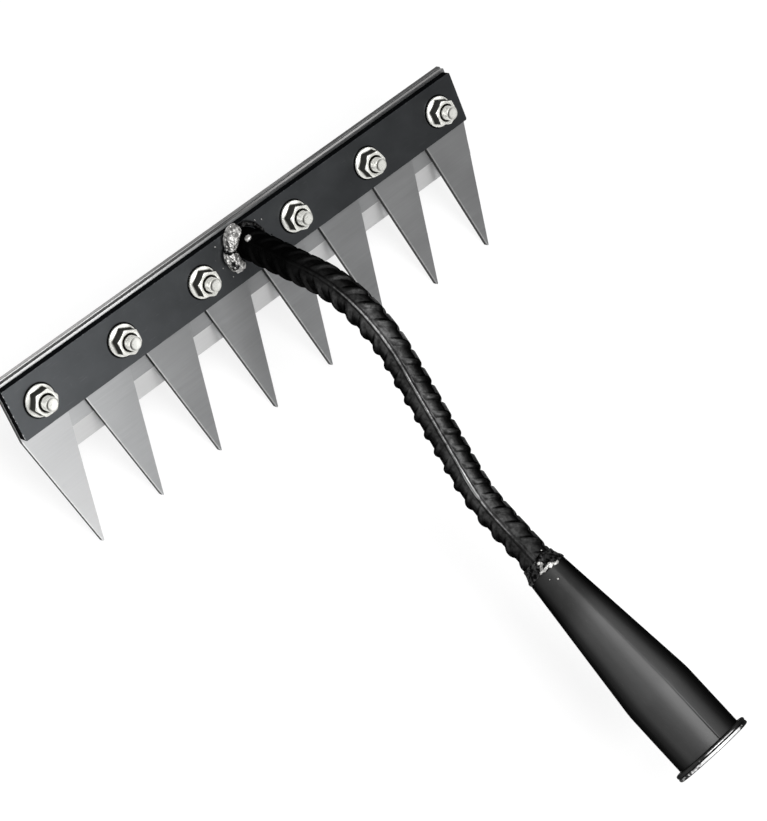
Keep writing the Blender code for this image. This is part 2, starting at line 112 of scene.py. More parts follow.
def lesser(first, second):
    return first.math("MINIMUM", first, second)


def greater(first, second):
    return first.math("MAXIMUM", first, second)


def tint(mask, first, second):
    # Colour first where the mask is 0, second where it is 1
    return mask.node("ShaderNodeMix", {"data_type": "RGBA"}, {0: mask, 6: first, 7: second}, 2)


def grey(value, warmth=0.0):
    return (value * (1 + warmth), value, value * (1 - warmth), 1.0)


def tones(mask, pair, warmth=0.0):
    # From the first grey of a pair to the second
    return tint(mask, *[grey(value, warmth) for value in pair])


def noise(place, scale, detail):
    # Scale may be one number or three, for a pattern that is drawn out along an axis
    if isinstance(scale, tuple):
        place = place.node("ShaderNodeVectorMath", {"operation": "MULTIPLY"},
                           {0: place, 1: scale})
        scale = 1.0
    return place.node("ShaderNodeTexNoise", None, {
        "Vector": place, "Scale": scale, "Detail": detail, "Roughness": 0.55})


def bump(height, distance, strength):
    return height.node("ShaderNodeBump", None, {
        "Height": height, "Distance": distance, "Strength": strength})


def readMark(place, name):
    # A number that every point of the mesh carries
    return place.node("ShaderNodeAttribute", {"attribute_name": name}, out="Fac")


def split(place):
    parts = place.node("ShaderNodeSeparateXYZ", None, {0: place})
    outputs = parts.socket.node.outputs
    return [Wire(place.tree, outputs[index]) for index in range(3)]


def newMaterial(name, constants):
    material = bpy.data.materials.new(name)
    material.use_nodes = True
    shader = material.node_tree.nodes["Principled BSDF"]
    for socket, value in constants.items():
        shader.inputs[socket].default_value = value
    start = Wire(material.node_tree)
    place = start.node("ShaderNodeTexCoord", out="Object")
    return material, shader, place


def feed(shader, **wires):
    names = {"colour": "Base Color", "roughness": "Roughness", "metallic": "Metallic",
             "normal": "Normal"}
    for name, wire in wires.items():
        wire.tree.links.new(wire.socket, shader.inputs[names[name]])


# Straight off the bar, over the knee, along the reach, round the heel and into the socket
course = {
    "start": 0.0107, "leaveAngle": 77.0, "rise": 0.056, "kneeRadius": 0.060,
    "reachAngle": 13.5, "reach": 0.070, "heelRadius": 0.060, "socketAngle": 41.2,
    "tail": 0.0355, "socket": 0.125, "entry": 0.020,
}


def courseRuns():
    knee = radians(course["leaveAngle"] - course["reachAngle"])
    heel = radians(course["socketAngle"] - course["reachAngle"])
    return [(course["rise"], 0.0), (course["kneeRadius"] * knee, -1 / course["kneeRadius"]),
            (course["reach"], 0.0), (course["heelRadius"] * heel, 1 / course["heelRadius"]),
            (course["tail"] + course["socket"], 0.0)]


def alongNeck(distance):
    # Point (v, n) and heading at each distance: a straight run adds distance times its
    # heading, a bend adds the chord of its arc
    distance = np.asarray(distance, float)
    heading = np.full(distance.shape, radians(course["leaveAngle"]))
    v = np.full(distance.shape, course["start"])
    n = np.zeros(distance.shape)
    runs = courseRuns()
    for index, (length, curvature) in enumerate(runs):
        longest = np.inf if index == len(runs) - 1 else length
        step = np.clip(distance, None if index == 0 else 0.0, longest)
        if curvature:
            turned = heading + curvature * step
            v = v + (np.sin(turned) - np.sin(heading)) / curvature
            n = n + (np.cos(heading) - np.cos(turned)) / curvature
            heading = turned
        else:
            v = v + step * np.cos(heading)
            n = n + step * np.sin(heading)
        distance = distance - step
    return v, n, heading


headTurn = radians(course["socketAngle"])
mouthDistance = sum(length for length, curvature in courseRuns())
mouthV, mouthN = [float(value) for value in alongNeck(mouthDistance)[:2]]
neckLength = mouthDistance - course["socket"] + course["entry"]


def fromHead(x, v, n):
    # Head axes (along the bar, down the bar's face, out of it) to the world's
    x, v, n = np.broadcast_arrays(x, v - mouthV, n - mouthN)
    return np.stack([x, v * cos(headTurn) + n * sin(headTurn),
                     -v * sin(headTurn) + n * cos(headTurn)], -1)


def headPlace(place):
    # The same axes inside a material
    return place.node("ShaderNodeMapping", {"vector_type": "POINT"}, {
        "Vector": place, "Location": (0.0, mouthV, mouthN), "Rotation": (headTurn, 0.0, 0.0)})


def gridFaces(rows, columns, closedRows=False):
    # Quads between neighbouring points of a grid that is stored row after row. Each row is a
    # closed loop, and closedRows joins the last row to the first as well.
    rowEnd = rows if closedRows else rows - 1
    row, column = np.meshgrid(np.arange(rowEnd), np.arange(columns), indexing="ij")
    nextRow, nextColumn = (row + 1) % rows, (column + 1) % columns
    return np.stack([row * columns + column, row * columns + nextColumn,
                     nextRow * columns + nextColumn, nextRow * columns + column],
                    -1).reshape(-1, 4)


# Points closer than the first become one, and edges shorter than the second go
meshFinish = {"doubles": 0.000004, "slivers": 0.000002}


def makePiece(name, parts, material, nodes, sharp, marks):
    # Parts are (points, faces) pairs. Doubles are merged, open ends filled, faces turned
    # outwards, and each mark is a number that every point carries for the material.
    points = np.concatenate([part[0].reshape(-1, 3) for part in parts])
    starts = np.cumsum([0] + [part[0].size // 3 for part in parts[:-1]])
    faces = np.concatenate([part[1] + start for part, start in zip(parts, starts)])
    mesh = bpy.data.meshes.new(name)
    mesh.from_pydata(points.tolist(), [], faces.tolist())
    for mark, values in marks.items():
        layer = mesh.attributes.new(mark, "FLOAT", "POINT")
        layer.data.foreach_set("value", np.asarray(values, np.float32).ravel())
    bm = bmesh.new()
    bm.from_mesh(mesh)
    bmesh.ops.remove_doubles(bm, verts=bm.verts, dist=meshFinish["doubles"])
    bmesh.ops.dissolve_degenerate(bm, edges=bm.edges, dist=meshFinish["slivers"])
    rims = [edge for edge in bm.edges if edge.is_boundary]
    if rims:
        bmesh.ops.holes_fill(bm, edges=rims, sides=0)
    bmesh.ops.recalc_face_normals(bm, faces=bm.faces)
    bm.to_mesh(mesh)
    bm.free()
    mesh.shade_smooth()
    mesh.set_sharp_from_angle(angle=radians(sharp))
    piece = bpy.data.objects.new(name, mesh)
    bpy.context.scene.collection.objects.link(piece)
    mesh.materials.append(material)
    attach(piece, "root")
    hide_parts(*nodes)


def ripple(a, b, seed):
    # Uneven swelling from 0 to 1: a sum of five sine waves, each finer and lower than the one
    # before, that cross at seeded angles
    random = np.random.default_rng(seed)
    total = np.zeros(np.broadcast(a, b).shape)
    waves = range(1, 6)
    for wave in waves:
        turn, phase = random.uniform(0, tau, 2)
        total += np.sin(wave * (a * cos(turn) + b * sin(turn)) + phase) / wave ** 0.6
    return 0.5 + 0.5 * total / sum(1 / wave ** 0.6 for wave in waves)


def between(place, stops):
    # Straight lines between stops, each a place and the value there
    return np.interp(place, *zip(*stops))


def outOfFace(place):
    # How far a face looks out of the bar's front, from -1 to 1; its sides give 0
    facing = place.node("ShaderNodeTexCoord", out="Normal")
    return facing.node("ShaderNodeVectorMath", {"operation": "DOT_PRODUCT"}, {
        0: facing, 1: (0.0, sin(headTurn), cos(headTurn))}, "Value")


# Black paint is a mirror as dark as the paint is, with dark rims that don't glare
blackPaint = {"Metallic": 1.0, "Specular Tint": grey(0.10)}


def paintedRimShade(place, share):
    # Painted shade: how much a rounded piece's colour darkens where it turns away from the eye
    facing = place.node("ShaderNodeLayerWeight", None, {"Blend": 0.5}, "Facing")
    return ease(facing, 0.10, 0.36) * share


barLook = {
    "length": 0.320, "height": 0.030, "thickness": 0.005, "roughness": 0.37,
    # Greys: the paint's two tones, hair scratches, bare metal and painted shade
    "paint": (0.071, 0.111), "scratch": 0.20, "bare": 0.45, "paintedShade": 0.003,
    # Paint chips this near to an edge, most of all this near to the bar's ends
    "wear": 0.0007, "endWear": 0.004,
    # Painted shade fills a ring round each nut as its contact shadow, and darkens the bar's
    # sides
    "nutLine": 0.0155, "nutPlaces": (0.033, 0.0883, 0.1436), "nutShadowRadius": 0.0098,
    "nutShadowFade": 0.0007, "sidePaintedShade": 0.58,
}


def barPaint(look):
    # Satin paint: faint mottling, orange peel, hair scratches, bare specks on the edges, and
    # painted shade in rings round the nuts and on the bar's sides
    material, shader, place = newMaterial("satin_bar_paint", blackPaint)
    side = ease(abs(outOfFace(place)), 0.55, 0.35)
    place = headPlace(place)
    x, v, n = split(place)
    toEnd = look["length"] / 2 - abs(x)
    toSide = lesser(v, look["height"] - v)
    toFace = lesser(-n, n + look["thickness"])
    toEdge = lesser(lesser(toEnd + toSide, toEnd + toFace), toSide + toFace)
    chips = ease(noise(place, 520.0, 4.0), 0.52, 0.60)
    endChips = ease(toEnd, look["endWear"], 0.0)
    worn = ease(toEdge, look["wear"], 0.0) * chips * (0.15 + 0.85 * endChips)
    mottle = noise(place, 38.0, 4.0)
    scratches = ease(noise(place, (90.0, 2600.0, 900.0), 2.0), 0.66, 0.74)
    crossed = ease(noise(place, (1900.0, 120.0, 900.0), 2.0), 0.70, 0.78)
    marks = greater(scratches, crossed) * 0.35
    paint = tint(marks, tones(mottle, look["paint"], -0.05), grey(look["scratch"], -0.02))
    # The ring of painted shadow goes by the square of the distance to the nearest nut's axis
    down = v - look["nutLine"]
    aside = [abs(x) - along for along in look["nutPlaces"]]
    nearest = lesser(lesser(aside[0] * aside[0], aside[1] * aside[1]), aside[2] * aside[2])
    ring = look["nutShadowRadius"]
    nutShadowRing = ease(nearest + down * down, ring ** 2, (ring - look["nutShadowFade"]) ** 2)
    # Painted shade on the bar's sides and in the rings round the nuts
    paint = tint(greater(side * look["sidePaintedShade"], nutShadowRing), paint, grey(look["paintedShade"]))
    feed(shader, colour=tint(worn, paint, grey(look["bare"])),
         roughness=look["roughness"] + 0.10 * (mottle - 0.5) + 0.12 * marks + 0.2 * nutShadowRing,
         normal=bump(noise(place, 900.0, 3.0) + 0.5 * mottle - 0.8 * worn, 0.00004, 0.5))
    return material


steelLook = {
    "roughness": 0.37, "front": -0.0053, "thickness": 0.003,
    # Teeth: their spacing and its shift, half a width at the root, and where root and tip are
    "pitch": 0.0416, "shift": 0.0005, "halfRoot": 0.0158, "root": 0.028, "tip": 0.1075,
    # A burr inside one edge of each tooth, painted as a highlight: how much, and the band it
    # lies in
    "burrHighlight": 0.45, "burrBand": (0.00075, 0.00035),
    # Dark and light greys: brushed face, ground bevel, rolled top edge, and sheared edges,
    # whose dark greys are painted shade
    "face": (0.34, 0.55), "bevel": (0.70, 0.84), "topEdge": (0.50, 0.85),
    "shearedEdgeShade": (0.016, 0.060),
    # Greys of what lies over these, painted shade and highlights among them
    "greys": {"middleShade": 0.06, "endHighlight": 0.76, "burrHighlight": 0.97, "scuff": 0.62, "lip": 0.98,
              "shearedFront": 0.40, "grimeAndGapShade": 0.02},
    # Painted shade over the middle teeth: its middle, then how far off it starts, is full, and
    # its share
    "middleShadeAt": 0.062, "middleShade": (0.036, 0.012, 0.19),
    # Painted highlight at one end, stronger down its tooth, and a little at the other end
    "endHighlightAt": (0.112, 0.136), "endHighlightShare": 0.20, "endHighlightDown": (0.040, 0.100, 0.38),
    "farHighlight": (-0.072, -0.095, 0.15),
    # Oil on the top edge: from and to along the bar, and how much
    "oil": ((-0.060, 0.015, 0.88), (-0.100, -0.125, 0.40)),
    # Painted highlight: a bright lip where the face stands clear of the plate in front, fading
    # along the bar
    "lip": (0.0002, -0.0003), "lipAlong": (-0.040, 0.090),
}
scraperLook = {
    **steelLook, "face": (0.32, 0.44), "roughness": 0.46, "burrHighlight": 0.0, "front": -0.0086,
    "topEdge": (0.50, 0.78), "oil": ((0.110, 0.030, 0.50), (-0.010, -0.070, 0.80)),
    "lip": (-0.0012, -0.0015),
}


def bladeSteel(name, look):
    # Bare plate, brushed along the blade, brighter on its ground bevel, with painted highlights
    # on its lip, a burr and its ends and painted shade over the middle teeth. Cut edges have
    # shear lines through the plate, bright near the front and painted nearly black behind as
    # shade, with oil and grime along the top and painted shade at its front and back. A tooth's
    # half width falls evenly to 0 at its tip.
    material, shader, place = newMaterial(name, {})
    outwards = abs(outOfFace(place))
    cut = ease(outwards, 0.6, 0.3)
    ground = ease(outwards, 0.995, 0.985) * (1 - cut)
    place = headPlace(place)
    x, v, n = split(place)
    fine = noise(place, (70.0, 3600.0, 900.0), 3.0)
    broad = noise(place, (22.0, 900.0, 300.0), 3.0)
    cloud = noise(place, 30.0, 4.0)
    scuffs = ease(noise(place, (320.0, 1500.0, 500.0), 2.0), 0.68, 0.76)
    shear = noise(place, (2200.0, 2200.0, 160.0), 2.0)
    grain = 0.55 * fine + 0.45 * broad
    along = grain.math("FRACT", (x + look["shift"]) * (1 / look["pitch"]))
    half = (look["tip"] - v) * (look["halfRoot"] / (look["tip"] - look["root"]))
    inside = half - (along - 0.5) * look["pitch"]
    # Painted highlight along a burr inside one edge of each tooth
    burrHighlight = ease(inside, *look["burrBand"]) * ease(v, look["root"], look["root"] + 0.004)
    # Painted highlight: lighter steel at the ends
    endHighlight = ease(x, *look["endHighlightAt"]) * (look["endHighlightShare"] + partly(v, *look["endHighlightDown"]))
    endHighlight = greater(endHighlight, partly(x, *look["farHighlight"]))
    lip = ease(v, *look["lip"]) * ease(x, *look["lipAlong"]) * (1 - cut)
    oily = greater(*[partly(x, *stretch) for stretch in look["oil"]])
    greys = {name: grey(value) for name, value in look["greys"].items()}

    face = tones(grain * 0.75 + 0.25 * cloud, look["face"], -0.012)
    # Painted shade over the middle teeth
    face = tint(partly(abs(x - look["middleShadeAt"]), *look["middleShade"]), face, greys["middleShade"])
    face = tint(endHighlight, face, greys["endHighlight"])
    face = tint(burrHighlight * look["burrHighlight"], face, greys["burrHighlight"])
    face = tint(scuffs * 0.12, face, greys["scuff"])
    face = tint(ground, face, tones(grain, look["bevel"]))
    # Painted highlight on the lip
    face = tint(lip, face, greys["lip"])

    # Depth goes from 0 at the plate's front to 1 at its back
    depth = (look["front"] - n) * (1 / look["thickness"])
    # Painted shade: the cut edges go nearly black behind their bright front
    shearedEdgeShade = tint(ease(depth, 0.10, 0.22), greys["shearedFront"],
                   tones(shear, look["shearedEdgeShade"]))
    rolled = tint(oily, tones(shear, look["topEdge"], 0.01), greys["grimeAndGapShade"])
    # Painted shade at the top edge's front and back, where it meets the parts beside it
    rolled = tint(greater(ease(depth, 0.16, 0.04), ease(depth, 0.84, 0.96)), rolled,
                  greys["grimeAndGapShade"])
    edge = tint(ease(v, 0.0014, 0.0007), shearedEdgeShade, rolled)
    feed(shader, colour=tint(cut, face, edge), metallic=1 - 0.85 * lip,
         roughness=look["roughness"] + 0.10 * (grain - 0.5) + 0.06 * (cloud - 0.5)
         + 0.20 * cut - 0.05 * ground,
         normal=bump(grain * (1 - cut) + shear * cut, 0.00003, 0.08))
    return material


def dress(node, material):
    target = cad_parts[node]
    target.data.materials.clear()
    target.data.materials.append(material)


dress("clamp_bar", barPaint(barLook))
dress("toothed_blade", bladeSteel("brushed_tooth_steel", steelLook))
dress("scraper_blade", bladeSteel("brushed_scraper_steel", scraperLook))
print("bar and blades dressed")


fastener = {
    "line": 0.0155, "places": (0.1436, 0.0883, 0.033, -0.033, -0.0883, -0.1436),
    "turns": (30.0, 2.0, 4.0, 6.0, 22.0, 4.0),
    # The bolts' turns set which way each painted shade crescent faces
    "boltTurns": (-26.0, -18.0, -34.0, -22.0, -30.0, -24.0), "columns": 72,
    # Hexagon: across its flats, out to its turned corners, its chamfer, and how much of the
    # flats its end face spans
    "flats": 0.013, "cornerCut": 0.00739, "chamfer": 30.0, "endShare": 0.965,
    "nutBase": 0.0003, "nutHeight": 0.0076, "flange": 0.0086, "flangeEdge": 0.0012,
    "flangeSlope": 25.0, "sink": 0.0051, "bore": 0.0041,
    "boltSeat": -0.0119, "boltLength": 0.025, "boltRadius": 0.00395, "boltChamfer": 0.0009,
    "headHeight": 0.0053, "darkBelow": 0.0204, "darkFade": 0.0009,
    "threadPitch": 0.00125, "threadDepth": 0.00042, "threadLength": 0.0092,
    "threadFade": 0.002, "rowsPerTurn": 10,
}


def hexSide(angle, spec):
    # Distance to a hexagon's side: half its flats over the cosine of the angle from the
    # nearest flat's middle, with the corners turned down a little
    fromFlat = (angle + pi / 6) % (pi / 3) - pi / 6
    return np.minimum(spec["flats"] / 2 / np.cos(fromFlat), spec["cornerCut"])


def stackRows(rows, angle):
    # Rows of numbers, or of arrays over the angle, to one array for each of a row's items
    return [np.stack([np.broadcast_to(item, angle.shape) for item in items])
            for items in zip(*rows)]


def nutGrid(spec, angle):
    # Rows of (radius, height, shade), where shade is what the material darkens: the
    # underside, the hexagon's sides and the countersink
    side = hexSide(angle, spec)
    slope = tan(radians(spec["flangeSlope"]))
    flat = spec["flats"] / 2 * spec["endShare"]
    top, flange, edge = spec["nutHeight"], spec["flange"], spec["flangeEdge"]
    bore, sink = spec["bore"], spec["sink"]
    shoulder = top - (side - flat) * tan(radians(spec["chamfer"]))

    def cone(radius):
        return edge + (flange - 0.00012 - radius) * slope

    rows = [
        # Under the flange, round its rim and up its cone
        (bore, 0.0, 0.8), (flange - 0.0003, 0.0, 0.8), (flange - 0.00008, 0.0001, 0.8),
        (flange, 0.0003, 0.0), (flange, edge - 0.0003, 0.0),
        (flange - 0.00006, edge - 0.0001, 0.0), (flange - 0.0002, cone(flange - 0.0002), 0.0),
        (side + 0.0009, cone(side + 0.0009), 0.0), (side + 0.0004, cone(side + 0.0004), 0.5),
        # Up the hexagon's sides and over its turned chamfer
        (side + 0.00012, cone(side) + 0.00006, 0.8), (side, cone(side) + 0.0003, 0.93),
        (side, shoulder - 0.00025, 0.86), (side - 0.00003, shoulder - 0.00008, 0.25),
        (side - 0.00012, shoulder + 0.00005, 0.0), (flat + 0.0001, top - 0.00004, 0.0),
        # Across the end face, down the countersink and into the bore
        (flat - 0.00012, top, 0.0), (sink + 0.0001, top, 0.0),
        (sink - 0.00004, top - 0.00007, 0.55)]
    for share, shade in ((0.3, 0.85), (0.62, 0.95), (0.9, 1.0)):
        fall = (sink - bore) * share
        rows.append((sink - fall, top - 0.00011 - fall, shade))
    rows += [(bore, top - 0.0017, 1.0), (bore, top - 0.003, 1.0)]
    return stackRows(rows, angle)


def boltGrid(spec, angle):
    # Rows from the end face's middle, down the thread, along the shank and over the head.
    # The thread is a wave of height over pitch minus the turn: crest and root are clipped.
    length, chamfer, shank = spec["boltLength"], spec["boltChamfer"], spec["boltRadius"]
    steps = int(spec["threadLength"] / spec["threadPitch"] * spec["rowsPerTurn"])
    height = length - np.linspace(0.0, spec["threadLength"], steps)[:, None] + 0 * angle
    phase = (height / spec["threadPitch"] - angle / tau) % 1.0
    depth = np.clip(2.6 * np.abs(phase - 0.5) - 0.15, 0.0, 1.0)
    depth = depth * np.clip((height - length + spec["threadLength"]) / spec["threadFade"], 0, 1)
    radius = shank - spec["threadDepth"] * depth
    radius = np.minimum(radius, shank - chamfer + (length - height))
    sunk = np.clip((spec["darkBelow"] - height) / spec["darkFade"], 0.0, 1.0)

    side = hexSide(angle, spec)
    head = spec["headHeight"]
    flat = spec["flats"] / 2 * spec["endShare"]
    drop = (side - flat) * tan(radians(spec["chamfer"])) - head
    endFace = stackRows([(0.0, length - 0.00010), (0.0009, length - 0.00007),
                         (0.0022, length - 0.00001), (shank - chamfer - 0.0001, length)], angle)
    shankAndHead = stackRows([
        (shank, 0.0009), (shank + 0.00025, 0.0), (side - 0.0001, 0.0), (side, -0.0001),
        (side, drop + 0.00025), (side - 0.00012, drop - 0.00005),
        (flat + 0.0001, 0.00004 - head), (flat - 0.00015, -head), (0.0046, -head),
        (0.0042, 0.00018 - head), (0.0, 0.00018 - head)], angle)
    shade = np.concatenate([0.05 + 0 * endFace[0], np.maximum(0.14 * depth, sunk),
                            0.1 + 0 * shankAndHead[0]])
    # Painted shade: a dark crescent on one side of the end's chamfer
    start = len(endFace[0])
    shade[start - 1:start + 4] = 0.16 + 0.74 * np.clip(np.cos(angle), 0.0, 1.0) ** 0.7
    return (np.concatenate([endFace[0], radius, shankAndHead[0]]),
            np.concatenate([endFace[1], height, shankAndHead[1]]), shade)


zincLook = {"dull": (0.86, 0.86, 0.80, 1.0), "bright": (0.97, 0.97, 0.93, 1.0),
            "dirtAndShade": (0.011, 0.011, 0.006, 1.0), "metallic": 0.45, "roughness": 0.20}


def zincPlate(look):
    # Bright zinc with a pale bloom, so only partly metallic: fine turning marks, olive dirt
    # specks, and olive painted shade wherever the shade mark lies
    material, shader, place = newMaterial("bright_zinc_plate", {"Specular IOR Level": 0.3,
                                                                "Specular Tint": grey(0.25)})
    shade = readMark(place, "shade")
    cloud = noise(place, 330.0, 4.0)
    specks = ease(noise(place, 1500.0, 3.0), 0.62, 0.72)
    # Painted shade where the shade mark lies: under the flange, on and beside the hexagon's
    # sides, in the countersink, down the thread and round the bolt's end, with dirt specks over
    # that
    shadeAndSpecks = greater(shade, specks * 0.25)
    feed(shader, colour=tint(shadeAndSpecks, tint(cloud, look["dull"], look["bright"]), look["dirtAndShade"]),
         metallic=look["metallic"] + 0.50 * shadeAndSpecks,
         roughness=look["roughness"] + 0.14 * cloud + 0.25 * shade,
         normal=bump(noise(place, 1300.0, 4.0), 0.00003, 0.4))
    return material


def makeFasteners(spec, material):
    angle = np.linspace(0.0, tau, spec["columns"], endpoint=False)
    kinds = (("nut", "flange_nut", nutGrid, spec["nutBase"], spec["turns"]),
             ("bolt", "bolt", boltGrid, spec["boltSeat"], spec["boltTurns"]))
    for index, along in enumerate(spec["places"]):
        for kind, node, grid, base, turns in kinds:
            radius, height, shade = grid(spec, angle)
            turned = angle + radians(turns[index])
            points = fromHead(along + radius * np.cos(turned),
                              spec["line"] + radius * np.sin(turned), base + height)
            faces = gridFaces(*radius.shape, closedRows=kind == "nut")
            makePiece(f"zinc_{kind}_{index + 1}", [(points, faces)], material,
                      [f"{node}_{index + 1}"], 28.0, {"shade": shade})


makeFasteners(fastener, zincPlate(zincLook))
print("bolts and nuts made")


neckShape = {
    "core": 0.0150, "columns": 100, "step": 0.00044, "barGap": 0.0003, "uneven": 0.00012,
    # Short ribs: height, spacing, where the first is, their foot's and crest's length, and how
    # far they lean. The rows begin before the bar, since they lean away from it.
    "ribHeight": 0.0014, "pitch": 0.01057, "start": 0.0068, "base": 0.0052, "crest": 0.0010,
    "sweep": 0.0145, "runIn": 0.045,
    # Long ribs: height, width, and their turn round the bar
    "seamHeight": 0.0009, "seamWidth": 0.0024, "seamTurn": 35.0,
    # How much darkening, rubbed paint with painted highlight, and scrape there is: distances
    # along the neck, and amounts
    "darkening": ((0.040, 1.0), (0.092, 0.0), (0.205, 0.0), (0.240, 0.55)),
    "rubAndSheen": ((0.050, 0.0), (0.085, 1.0), (0.200, 1.0), (0.240, 0.55)), "rubWidth": 0.52,
    "scrape": ((0.185, 0.0), (0.190, 1.0), (0.203, 1.0), (0.207, 0.0)), "scrapeWidth": 0.8,
}


def makeNeck(spec, material):
    # Radius over (distance, angle): the core, plus a long rib where the angle is near the
    # front or the back, plus short ribs. A short rib's height is a smooth step up its flank
    # times sin(share)^0.7 round each half, and it leans towards the socket as it goes back.
    core = spec["core"] / 2
    half = spec["seamWidth"] / spec["core"]
    angle = np.linspace(0.0, tau, spec["columns"], endpoint=False)
    around = angle % pi
    fromSeam = np.minimum(around, pi - around) / half
    seam = spec["seamHeight"] * np.clip(1 - fromSeam ** 2, 0.0, 1.0) ** 0.65
    share = np.clip((around - half) / (pi - 2 * half), 0.0, 1.0)
    crescent = np.sin(pi * share) ** 0.7
    # Short ribs on one side of the long ribs are half a pitch off the other side's, and
    # the step between is spread over a long rib's width
    pastSeam = np.where(around < pi / 2, around, around - pi) / half
    seamShare = np.clip(0.5 + 0.5 * pastSeam, 0.0, 1.0)
    nearFront = np.abs((angle + pi / 2) % tau - pi / 2) < pi / 2
    stagger = np.where(nearFront, 0.5 * (1 - seamShare), 0.5 * seamShare)
    aroundBack = np.abs((angle + pi) % tau - pi) / pi
    lead = spec["sweep"] * aroundBack + spec["pitch"] * stagger

    turn = angle + radians(spec["seamTurn"])
    leave = radians(course["leaveAngle"])
    first = (spec["barGap"] - (core + seam) * np.cos(turn) * cos(leave)) / sin(leave)
    stations = np.arange(-spec["runIn"], neckLength + 0.001, spec["step"])[:, None]
    distance = np.clip(stations + lead, first, neckLength)
    phase = (stations - spec["start"]) % spec["pitch"]
    flank = (spec["base"] - spec["crest"]) / 2
    climb = np.clip(np.minimum(phase, spec["base"] - phase) / flank, 0.0, 1.0)
    rib = climb ** 1.25 * (2.1 - 1.1 * climb)
    runOut = np.clip(np.minimum(distance - first, neckLength - distance) / spec["base"], 0, 1)
    short = spec["ribHeight"] * rib * crescent * runOut
    uneven = spec["uneven"] * (ripple(distance * 220, 2 * angle, 5) - 0.5)
    radius = core + seam + short + uneven
    v, n, heading = alongNeck(distance)
    outward = radius * np.cos(turn)
    points = fromHead(radius * np.sin(turn), v - outward * np.sin(heading),
                      n + outward * np.cos(heading))
    # Marks: short ribs' crests, the long rib's rubbed line where hands and soil reach it, which
    # is also painted as its highlight, with one wide scrape, darkening towards the bar and the
    # socket, and painted shade at the feet of the short ribs
    crest = np.clip((climb - 0.72) / 0.28, 0, 1) * crescent * runOut
    ribFootShade = np.clip(1 - np.abs(climb - 0.22) / 0.22, 0, 1) * crescent * runOut
    rubbedAndSheen = between(distance, spec["rubAndSheen"]) * np.exp(-(fromSeam / spec["rubWidth"]) ** 2)
    scraped = between(distance, spec["scrape"]) * np.exp(-(fromSeam / spec["scrapeWidth"]) ** 2)
    makePiece("ribbed_bar_neck", [(points, gridFaces(*distance.shape))], material,
              ["ribbed_neck"], 60.0,
              {"crest": crest, "line": rubbedAndSheen + scraped,
               "darkening": between(distance, spec["darkening"]), "ribFootShade": ribFootShade})


neckLook = {"paint": (0.026, 0.074), "ribFootShade": 0.006, "rubbedAndSheen": 0.19, "darkening": 0.003,
            "bare": 0.36, "roughness": 0.36}


def neckPaint(look):
    # Paint over rolled bar: scale pits, darker and matt towards the bar and the socket, painted
    # shade on the rims and at the short ribs' feet, thin crests lighter as rubbed paint and
    # painted highlight, and bright steel along the long rib, bare and painted as its highlight
    material, shader, place = newMaterial("gloss_neck_paint", blackPaint)
    crest, line, darkening, ribFootShade = [readMark(place, name)
                               for name in ("crest", "line", "darkening", "ribFootShade")]
    scale = noise(place, 480.0, 5.0)
    cloud = noise(place, 60.0, 4.0)
    streak = noise(place, 240.0, 3.0)
    # The crests lighten as rubbed paint and painted highlight, and the long rib's line as bare
    # steel and painted highlight
    rubbedAndSheen = ease(crest * (0.55 + 0.9 * streak), 0.80, 1.12)
    bare = ease(line * (0.30 + 1.2 * streak), 0.42, 0.95)
    paint = tones(ease(0.5 * cloud + 0.5 * scale, 0.36, 0.64), look["paint"])
    # Painted shade at the short ribs' feet
    paint = tint(ribFootShade * 0.75, paint, grey(look["ribFootShade"]))
    paint = tint(rubbedAndSheen * 0.7, paint, grey(look["rubbedAndSheen"]))
    # Painted shade on the rims, and darker towards the bar and the socket
    paint = tint(greater(paintedRimShade(place, 0.75), darkening * 0.94), paint, grey(look["darkening"]))
    feed(shader, colour=tint(bare * 0.85, paint, grey(look["bare"])),
         roughness=look["roughness"] + 0.13 * scale + 0.06 * rubbedAndSheen + 0.15 * darkening
         - 0.08 * bare,
         normal=bump(scale + 0.6 * noise(place, 1500.0, 3.0), 0.00013, 0.6))
    return material


makeNeck(neckShape, neckPaint(neckLook))
print("neck made")


weldSpots = {
    "gap": 0.0003, "inner": 0.0092, "columns": 170, "rows": 44,
    # Each lobe: middle and half width in degrees round the neck, reach and height. Each bead
    # of spatter: degrees round the neck, distance from its axis, height, size, how bare.
    "left": {"ends": (12.0, 138.0), "seed": 3, "lumps": 0.0017, "ridges": 0.0008,
             "lobes": ((45.0, 38.0, 0.0050, 0.0062), (104.0, 34.0, 0.0068, 0.0060)),
             "spatter": (
                 (68.0, 0.0190, 0.0, 0.0004, 1.0), (106.0, 0.0192, 0.0, 0.0003, 1.0),
                 (130.0, 0.0195, 0.0, 0.00035, 0.6), (88.0, 0.0208, 0.0, 0.00025, 0.4),
                 (24.0, 0.0078, 0.0108, 0.0021, 1.0), (98.0, 0.0143, 0.0080, 0.0007, 1.0),
                 (106.0, 0.0158, 0.0066, 0.0008, 1.0))},
    "right": {"ends": (190.0, 366.0), "seed": 8, "lumps": 0.0007, "ridges": 0.0002,
              "lobes": ((276.0, 94.0, 0.0016, 0.0042),),
              "spatter": (
                  (-72.0, 0.0150, 0.0, 0.0004, 0.8), (-58.0, 0.0122, 0.0, 0.0004, 0.7),
                  (-110.0, 0.0175, 0.0, 0.0005, 0.0))},
}


def billow(a, b, seed):
    # Round lumps with sharp creases between: how far a ripple is from its middle value
    return np.abs(2 * ripple(a, b, seed) - 1) ** 0.6


def lumpy(coarse, fine, seed):
    # Large lumps with smaller ones over them, each along two directions of its own
    return 0.6 * billow(*coarse, seed) + 0.4 * billow(*fine, seed + 1)


weldLook = {"silver": ((0.34, 0.335, 0.325, 1.0), (0.95, 0.94, 0.92, 1.0)), "darkening": 0.015,
            "paint": (0.065, 0.004), "roughness": 0.38}


